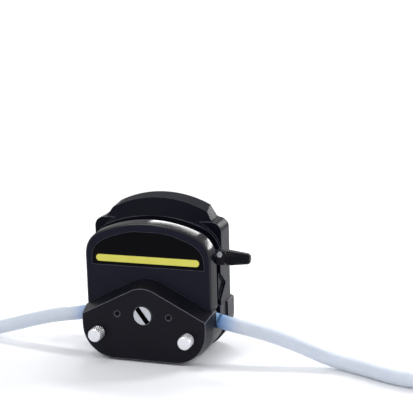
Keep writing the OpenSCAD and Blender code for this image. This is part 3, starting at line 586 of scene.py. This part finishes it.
def turnedMetal(name, look):
    # turned metal: fine tool rings round the part's own axis, which runs along Y at |x| = axisX,
    # z = axisZ; the rings show as faint bands of gloss and a shallow groove pattern
    material, tree, shader, place = newFinish(name, {
        "Base Color": linear(look["colour"]), "Metallic": 1.0})
    parts = addNode(tree, "ShaderNodeSeparateXYZ", {"Vector": place})
    mirroredX = addNode(tree, "ShaderNodeMath", {0: parts.outputs["X"]}, operation="ABSOLUTE")
    fromX = addNode(tree, "ShaderNodeMath", {0: mirroredX.outputs[0], 1: look["axisX"] * mm},
                    operation="SUBTRACT")
    fromZ = addNode(tree, "ShaderNodeMath", {0: parts.outputs["Z"], 1: look["axisZ"] * mm},
                    operation="SUBTRACT")
    flat = addNode(tree, "ShaderNodeCombineXYZ", {"X": fromX.outputs[0], "Y": fromZ.outputs[0]})
    radius = addNode(tree, "ShaderNodeVectorMath", {0: flat.outputs[0]}, operation="LENGTH")
    ringPlace = addNode(tree, "ShaderNodeCombineXYZ", {
        "X": radius.outputs["Value"], "Y": parts.outputs["Y"]})
    rings = addNode(tree, "ShaderNodeTexNoise", {
        "Vector": ringPlace.outputs[0], "Scale": 1 / (look["ring"] * mm), "Detail": 2.0})
    smear = addNode(tree, "ShaderNodeTexNoise", {
        "Vector": place, "Scale": 1 / (look["smear"] * mm), "Detail": 3.0})
    mixed = addNode(tree, "ShaderNodeMath", {
        0: rings.outputs["Fac"], 1: smear.outputs["Fac"]}, operation="ADD")
    gloss = glossNode(tree, mixed.outputs[0], finishUse["twoNoises"],
                      [look["rough"] * times for times in finishUse["turnedSpread"]])
    tree.links.new(gloss, shader.inputs["Roughness"])
    if "slotShadeColour" in look:
        # painted shade in a sawn slot: between the two given depths along y the metal's colour is
        # painted near black, standing in for the shade inside the slot
        coated = addNode(tree, "ShaderNodeMath", {
            0: parts.outputs["Y"], 1: (look["slotShadeFrom"] + look["slotShadeTo"]) / 2 * mm,
            2: (look["slotShadeTo"] - look["slotShadeFrom"]) / 2 * mm}, operation="COMPARE")
        colour = addNode(tree, "ShaderNodeMix", {
            "Factor": coated.outputs[0], "A": linear(look["colour"]), "B": linear(look["slotShadeColour"])},
            data_type="RGBA")
        tree.links.new(colour.outputs[2], shader.inputs["Base Color"])
    rounded = addNode(tree, "ShaderNodeBevel", {
        "Radius": look["edge"] * mm}, samples=finishUse["bevelSamples"])
    bump = addNode(tree, "ShaderNodeBump", {
        "Height": rings.outputs["Fac"], "Strength": look["bump"],
        "Distance": look["ring"] * finishUse["lineDepth"] * mm,
        "Normal": rounded.outputs["Normal"]})
    tree.links.new(bump.outputs["Normal"], shader.inputs["Normal"])
    return material


def brushedMetal(name, look):
    # milled, ground or sintered metal: short scratches along one direction and a cloudy gloss
    material, tree, shader, place = newFinish(name, {"Metallic": 1.0})
    stretch = addNode(tree, "ShaderNodeMapping", {"Vector": place, "Scale": look["stretch"]})
    lines = addNode(tree, "ShaderNodeTexNoise", {
        "Vector": stretch.outputs[0], "Scale": 1 / (look["line"] * mm), "Detail": 3.0})
    tint = addNode(tree, "ShaderNodeMix", {
        "Factor": lines.outputs["Fac"], "A": linear(look["dark"]), "B": linear(look["light"])},
        data_type="RGBA")
    tree.links.new(tint.outputs[2], shader.inputs["Base Color"])
    gloss = glossNode(tree, lines.outputs["Fac"], finishUse["noiseRange"],
                      [look["rough"] * times for times in finishUse["brushedSpread"]])
    tree.links.new(gloss, shader.inputs["Roughness"])
    rounded = addNode(tree, "ShaderNodeBevel", {
        "Radius": look["edge"] * mm}, samples=finishUse["bevelSamples"])
    bump = addNode(tree, "ShaderNodeBump", {
        "Height": lines.outputs["Fac"], "Strength": look["bump"],
        "Distance": look["line"] * finishUse["lineDepth"] * mm,
        "Normal": rounded.outputs["Normal"]})
    tree.links.new(bump.outputs["Normal"], shader.inputs["Normal"])
    return material


def clearTube(name, look):
    # extruded silicone: milky and see-through, with a faint haze and a dusty soft gloss; near the
    # dark head, between the two given distances from the middle, a painted shade: a cool blue
    # colour standing in for the head's shade on the tube
    material, tree, shader, place = newFinish(name, {
        "Transmission Weight": look["through"], "IOR": look["ior"],
        "Specular IOR Level": look["shine"]})
    haze = addNode(tree, "ShaderNodeTexNoise", {
        "Vector": place, "Scale": 1 / (look["haze"] * mm), "Detail": 3.0})
    parts = addNode(tree, "ShaderNodeSeparateXYZ", {"Vector": place})
    sideways = addNode(tree, "ShaderNodeMath", {0: parts.outputs["X"]}, operation="ABSOLUTE")
    # painted shade: the blue is strongest where the tube leaves the dark head and fades away from
    # it
    exitShade = addNode(tree, "ShaderNodeMapRange", {
        "Value": sideways.outputs[0], "From Min": look["exitShadeFrom"] * mm,
        "From Max": look["exitShadeTo"] * mm, "To Min": 1.0, "To Max": 0.0},
        interpolation_type="SMOOTHSTEP")
    plain = addNode(tree, "ShaderNodeMix", {
        "Factor": haze.outputs["Fac"], "A": linear(look["milky"]), "B": linear(look["bright"])},
        data_type="RGBA")
    exitShaded = addNode(tree, "ShaderNodeMix", {
        "Factor": exitShade.outputs["Result"], "A": plain.outputs[2], "B": linear(look["exitShade"])},
        data_type="RGBA")
    tree.links.new(exitShaded.outputs[2], shader.inputs["Base Color"])
    gloss = glossNode(tree, haze.outputs["Fac"], finishUse["noiseRange"],
                      [look["rough"] + more for more in look["spread"]])
    tree.links.new(gloss, shader.inputs["Roughness"])
    bump = addNode(tree, "ShaderNodeBump", {
        "Height": haze.outputs["Fac"], "Strength": look["bump"],
        "Distance": look["bumpDepth"] * mm})
    tree.links.new(bump.outputs["Normal"], shader.inputs["Normal"])
    return material


# glass-filled nylon, moulded: the lower housing; a close dark grain with a soft sheen
housingNylon = mouldedPlastic("glassFilledNylon", {
    "dark": "#0e0e15", "light": "#15151d", "edgeHighlightColour": "#a2a2b0", "edgeHighlight": 0.9,
    "rough": 0.34, "grain": 0.35, "cloud": 18.0, "bump": 0.10, "edge": 0.9,
    "ior": 1.5, "shine": 0.10})
# ABS, moulded: the front cover; a touch bluer and smoother than the housing
coverAbs = mouldedPlastic("mouldedAbs", {
    "dark": "#12131e", "light": "#181a28", "edgeHighlightColour": "#7a7a88", "edgeHighlight": 0.8,
    "rough": 0.34, "grain": 0.35, "cloud": 22.0, "bump": 0.08, "edge": 0.6,
    "ior": 1.5, "shine": 0.08})
# the same ABS with a finer, duller texture: the rear half of the upper casing
domeAbs = mouldedPlastic("texturedAbs", {
    "dark": "#0b0c14", "light": "#11121c", "edgeHighlightColour": "#7a7a88", "edgeHighlight": 0.7,
    "rough": 0.52, "grain": 0.45, "cloud": 24.0, "bump": 0.14, "edge": 0.7,
    "handled": 0.26, "handledFrom": 30.0, "handledTo": 40.0,
    "ior": 1.5, "shine": 0.04})
# the same ABS polished by the mould on the cover's rim
rimAbs = mouldedPlastic("polishedAbs", {
    "dark": "#0b0b12", "light": "#10101a", "edgeHighlightColour": "#3c3c48", "edgeHighlight": 0.3,
    "rough": 0.13, "grain": 0.6, "cloud": 25.0, "bump": 0.03, "edge": 0.2, "lean": 0.29,
    "ior": 1.53, "shine": 0.34})
# black powder coat on the die-cast bracket and the lever's arm; slightly pebbled
powderCoat = mouldedPlastic("powderCoatedZinc", {
    "dark": "#15151b", "light": "#1c1c24", "edgeHighlightColour": "#55555e", "edgeHighlight": 0.5,
    "rough": 0.38, "grain": 0.7, "cloud": 14.0, "bump": 0.22, "edge": 0.4,
    "ior": 1.5, "shine": 0.16})
# acetal, machined: the bed and the jaws that hold the tube; waxy and plain
jawAcetal = mouldedPlastic("machinedAcetal", {
    "dark": "#1b1b21", "light": "#23232b", "edgeHighlightColour": "#4a4a52", "edgeHighlight": 0.5,
    "rough": 0.42, "grain": 0.5, "cloud": 10.0, "bump": 0.12, "edge": 0.3,
    "ior": 1.48, "shine": 0.18})
# phenolic, moulded: the lever's grip; hard, darker and smoother than the covers
gripPhenolic = mouldedPlastic("mouldedPhenolic", {
    "dark": "#06070c", "light": "#0a0b11", "edgeHighlightColour": "#8c8c98", "edgeHighlight": 0.8,
    "rough": 0.20, "grain": 0.5, "cloud": 12.0, "bump": 0.05, "edge": 0.35,
    "ior": 1.55, "shine": 0.07})
# polyester film, printed plain black from behind: the bare label; smooth and flat
labelFilm = mouldedPlastic("blackPolyesterFilm", {
    "dark": "#060608", "light": "#09090d", "edgeHighlightColour": "#26262e", "edgeHighlight": 0.4,
    "rough": 0.30, "grain": 0.9, "cloud": 30.0, "bump": 0.02, "edge": 0.15,
    "ior": 1.5, "shine": 0.04})
# the same film in plain yellow: the strip under the label's middle
stripFilm = mouldedPlastic("yellowPolyesterFilm", {
    "dark": "#d3cb4b", "light": "#ddd75a", "edgeHighlightColour": "#f2e96a", "edgeHighlight": 0.4,
    "rough": 0.34, "grain": 0.9, "cloud": 16.0, "bump": 0.03, "edge": 0.15,
    "ior": 1.6, "shine": 0.4})
# stainless steel, turned: bearings and rotor discs; fine rings about the shaft's axis
shaftSteel = turnedMetal("turnedStainlessSteel", {
    "colour": "#b9bbc0", "axisX": 0.0, "axisZ": 0.0, "ring": 0.5, "smear": 6.0,
    "rough": 0.26, "bump": 0.25, "edge": 0.3})
# the same steel with painted shade in the slot of the front end, under the face at y = -63.6: a
# near-black colour in place of the slot's shade
slottedSteel = turnedMetal("slotShadedStainlessSteel", {
    "colour": "#b9bbc0", "axisX": 0.0, "axisZ": 0.0, "ring": 0.5, "smear": 6.0,
    "rough": 0.26, "bump": 0.25, "edge": 0.3,
    "slotShadeColour": "#121216", "slotShadeFrom": -63.2, "slotShadeTo": -58.0})
# brass, turned and chrome plated: the clamp knobs; bright, rings about each knob's own axis
knobChrome = turnedMetal("chromePlatedBrass", {
    "colour": "#dfe0e4", "axisX": 36.1, "axisZ": -15.6, "ring": 0.45, "smear": 5.0,
    "rough": 0.22, "bump": 0.18, "edge": 0.2})
# stainless steel, drawn and ground: posts, rollers, screws and other small steel parts;
# lines along their length
groundSteel = brushedMetal("groundStainlessSteel", {
    "dark": "#a9abb0", "light": "#c4c6cb", "stretch": (1.0, 0.2, 1.0), "line": 0.4,
    "rough": 0.28, "bump": 0.2, "edge": 0.2})
# steel, chemically blackened: the two small screws in the front face
blackSteel = brushedMetal("blackenedSteel", {
    "dark": "#17171b", "light": "#2c2c32", "stretch": (1.0, 1.0, 1.0), "line": 0.5,
    "rough": 0.36, "bump": 0.2, "edge": 0.25})
# aluminium, milled: cam disc, crossbar and spacer; wider tool lines and a softer grey
milledAluminium = brushedMetal("milledAluminium", {
    "dark": "#9a9da2", "light": "#b4b7bc", "stretch": (1.0, 1.0, 0.15), "line": 0.6,
    "rough": 0.34, "bump": 0.25, "edge": 0.3})
# sintered bronze: the plain bearings; warm, with open pores
bushBronze = brushedMetal("sinteredBronze", {
    "dark": "#7d5f34", "light": "#a5814c", "stretch": (1.0, 1.0, 1.0), "line": 0.35,
    "rough": 0.42, "bump": 0.35, "edge": 0.2})
# silicone rubber, extruded: the tube
tubeSilicone = clearTube("extrudedSilicone", {
    "milky": "#dfe7f3", "bright": "#f1f5fb", "exitShade": "#86b9ee", "exitShadeFrom": 50.0, "exitShadeTo": 72.0,
    "haze": 7.0, "rough": 0.36, "spread": (-0.06, 0.08), "bump": 0.06, "bumpDepth": 0.2,
    "through": 0.4, "ior": 1.41, "shine": 0.4})

finishOf = {
    "pump_body": housingNylon, "rear_bracket": powderCoat, "bracket_screws": groundSteel,
    "bearing_plate": groundSteel, "face_screws": blackSteel, "front_bearing": shaftSteel,
    "rear_bearing": shaftSteel, "guide_posts": groundSteel, "crossbar": milledAluminium,
    "crossbar_caps": groundSteel, "follower_pin": groundSteel, "left_lower_jaw": jawAcetal,
    "right_lower_jaw": jawAcetal, "rotor_shaft": slottedSteel, "front_disc": shaftSteel,
    "rear_disc": shaftSteel, "roller_pins": groundSteel, "rotor_spacer": milledAluminium,
    "roller_1": groundSteel, "roller_2": groundSteel, "roller_3": groundSteel,
    "front_cover": coverAbs, "label_plate": labelFilm, "label_strip": stripFilm,
    "occlusion_bed": jawAcetal, "left_upper_jaw": jawAcetal, "right_upper_jaw": jawAcetal,
    "rear_casing": domeAbs, "post_bushes": bushBronze, "cover_screws": groundSteel,
    "slot_spacers": groundSteel, "front_axle_bush": bushBronze, "rear_axle_bush": bushBronze,
    "lever_shaft": groundSteel, "cam_disc": milledAluminium, "lever_arm": powderCoat,
    "arm_screw": groundSteel,
}
for node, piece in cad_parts.items():
    if node in finishOf:
        piece.data.materials.clear()
        piece.data.materials.append(finishOf[node])
finishOfPiece = (
    (leftTube, tubeSilicone), (rightTube, tubeSilicone), (middleTube, tubeSilicone),
    (leftKnob, knobChrome), (rightKnob, knobChrome), (gripPiece, gripPhenolic),
    (rimPiece, rimAbs),
)
for piece, finish in finishOfPiece:
    piece.data.materials.append(finish)
print("stage 4: finishes given to", len(finishOf), "nodes and", len(finishOfPiece), "pieces")


# floor, world and lamps, in metres, watts and degrees
studioUse = {
    "floorSize": 24.0,
    "floorDrop": 0.0001,
    "floorColour": "#fafafb",
    "floorRough": 0.85,
    "floorShine": 0.1,
    "whiteFrom": 0.2,
    "whiteTo": 0.75,
    "fill": 0.56,
    "fillColour": "#eef1f8",
    "lamps": {
        "key": {"place": (-0.75, -1.35, 1.45), "aim": (0.0, -0.03, 0.03), "size": (0.9, 0.9),
                "roll": 0, "power": 12.0},
        "top": {"place": (-0.25, -0.22, 1.0), "aim": (0.0, -0.04, 0.05), "size": (0.3, 0.3),
                "roll": 0, "power": 1.1},
        "side": {"place": (1.5, -0.5, 0.7), "aim": (0.0, -0.03, 0.02), "size": (0.5, 0.9),
                 "roll": 0, "power": 3.0},
        "backLeft": {"place": (-0.06, 0.50, 0.75), "aim": (0.0, -0.04, 0.06),
                     "size": (0.5, 0.1), "roll": -15, "power": 3.0},
        "backRight": {"place": (0.66, 0.45, 0.46), "aim": (0.045, -0.04, 0.05),
                      "size": (0.42, 0.1), "roll": 52, "power": 3.6},
        "backLow": {"place": (0.23, 0.62, 0.24), "aim": (0.045, -0.02, 0.06),
                    "size": (0.26, 0.09), "roll": 46, "power": 1.0},
    },
}


def seenDirectly(tree):
    # 1 for a camera, mirror or see-through ray, otherwise 0
    rays = addNode(tree, "ShaderNodeLightPath")
    seen = addNode(tree, "ShaderNodeMath", {
        0: rays.outputs["Is Camera Ray"], 1: rays.outputs["Is Glossy Ray"]},
        operation="MAXIMUM").outputs[0]
    return addNode(tree, "ShaderNodeMath", {
        0: seen, 1: rays.outputs["Is Transmission Ray"]}, operation="MAXIMUM").outputs[0]


def makeFloor(use):
    # a flat square, its corners at plus and minus half the size, just under the lowest point
    half = use["floorSize"] / 2
    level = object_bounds()[0][2] - use["floorDrop"]
    mesh = bpy.data.meshes.new("floor")
    mesh.from_pydata([(-half, -half, level), (half, -half, level), (half, half, level),
                      (-half, half, level)], [], [(0, 1, 2, 3)])
    floor = bpy.data.objects.new("floor", mesh)
    bpy.context.scene.collection.objects.link(floor)
    # painted board: a pale, even, nearly matt grey-white; from whiteFrom to whiteTo away it turns
    # into the plain white of the room for camera, mirror and see-through rays
    material, tree, shader, place = newFinish("paintedBoard", {
        "Base Color": linear(use["floorColour"]), "Roughness": use["floorRough"],
        "Specular IOR Level": use["floorShine"]})
    away = addNode(tree, "ShaderNodeVectorMath", {0: place}, operation="LENGTH")
    far = addNode(tree, "ShaderNodeMapRange", {
        "Value": away.outputs["Value"], "From Min": use["whiteFrom"],
        "From Max": use["whiteTo"]}, interpolation_type="SMOOTHSTEP")
    white = addNode(tree, "ShaderNodeEmission", {"Color": (1, 1, 1, 1), "Strength": 1.0})
    share = addNode(tree, "ShaderNodeMath", {0: far.outputs["Result"], 1: seenDirectly(tree)},
                    operation="MULTIPLY")
    mixed = addNode(tree, "ShaderNodeMixShader", {
        "Fac": share.outputs[0], 1: shader.outputs[0], 2: white.outputs[0]})
    output = next(node for node in tree.nodes if node.type == "OUTPUT_MATERIAL")
    tree.links.new(mixed.outputs[0], output.inputs["Surface"])
    floor.data.materials.append(material)
    floor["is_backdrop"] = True


def makeWorld(use):
    # camera, mirror and see-through rays meet plain white; the rest of the light is a softer grey,
    # so the object is lit at a plain level against a white room
    world = bpy.data.worlds.new("studio")
    bpy.context.scene.world = world
    world.use_nodes = True
    tree = world.node_tree
    tree.nodes.clear()
    white = addNode(tree, "ShaderNodeBackground", {"Color": (1, 1, 1, 1), "Strength": 1.0})
    soft = addNode(tree, "ShaderNodeBackground", {
        "Color": linear(use["fillColour"]), "Strength": use["fill"]})
    mixed = addNode(tree, "ShaderNodeMixShader", {
        "Fac": seenDirectly(tree), 1: soft.outputs[0], 2: white.outputs[0]})
    addNode(tree, "ShaderNodeOutputWorld", {"Surface": mixed.outputs[0]})


def makeLamp(name, use):
    # a rectangle of soft light turned to its aim, then rolled about its own direction
    data = bpy.data.lights.new(name, "AREA")
    data.shape = "RECTANGLE"
    data.size, data.size_y = use["size"]
    data.energy = use["power"]
    lamp = bpy.data.objects.new(name, data)
    bpy.context.scene.collection.objects.link(lamp)
    lamp.location = use["place"]
    ahead = (Vector(use["aim"]) - Vector(use["place"])).to_track_quat("-Z", "Y")
    lamp.rotation_euler = (ahead @ Quaternion((0, 0, 1), math.radians(use["roll"]))).to_euler()
    lamp.visible_camera = False


makeFloor(studioUse)
makeWorld(studioUse)
for lampName, lampUse in studioUse["lamps"].items():
    makeLamp(lampName, lampUse)
bpy.context.scene.view_settings.view_transform = "Standard"
print("stage 5: floor, world and lamps placed")
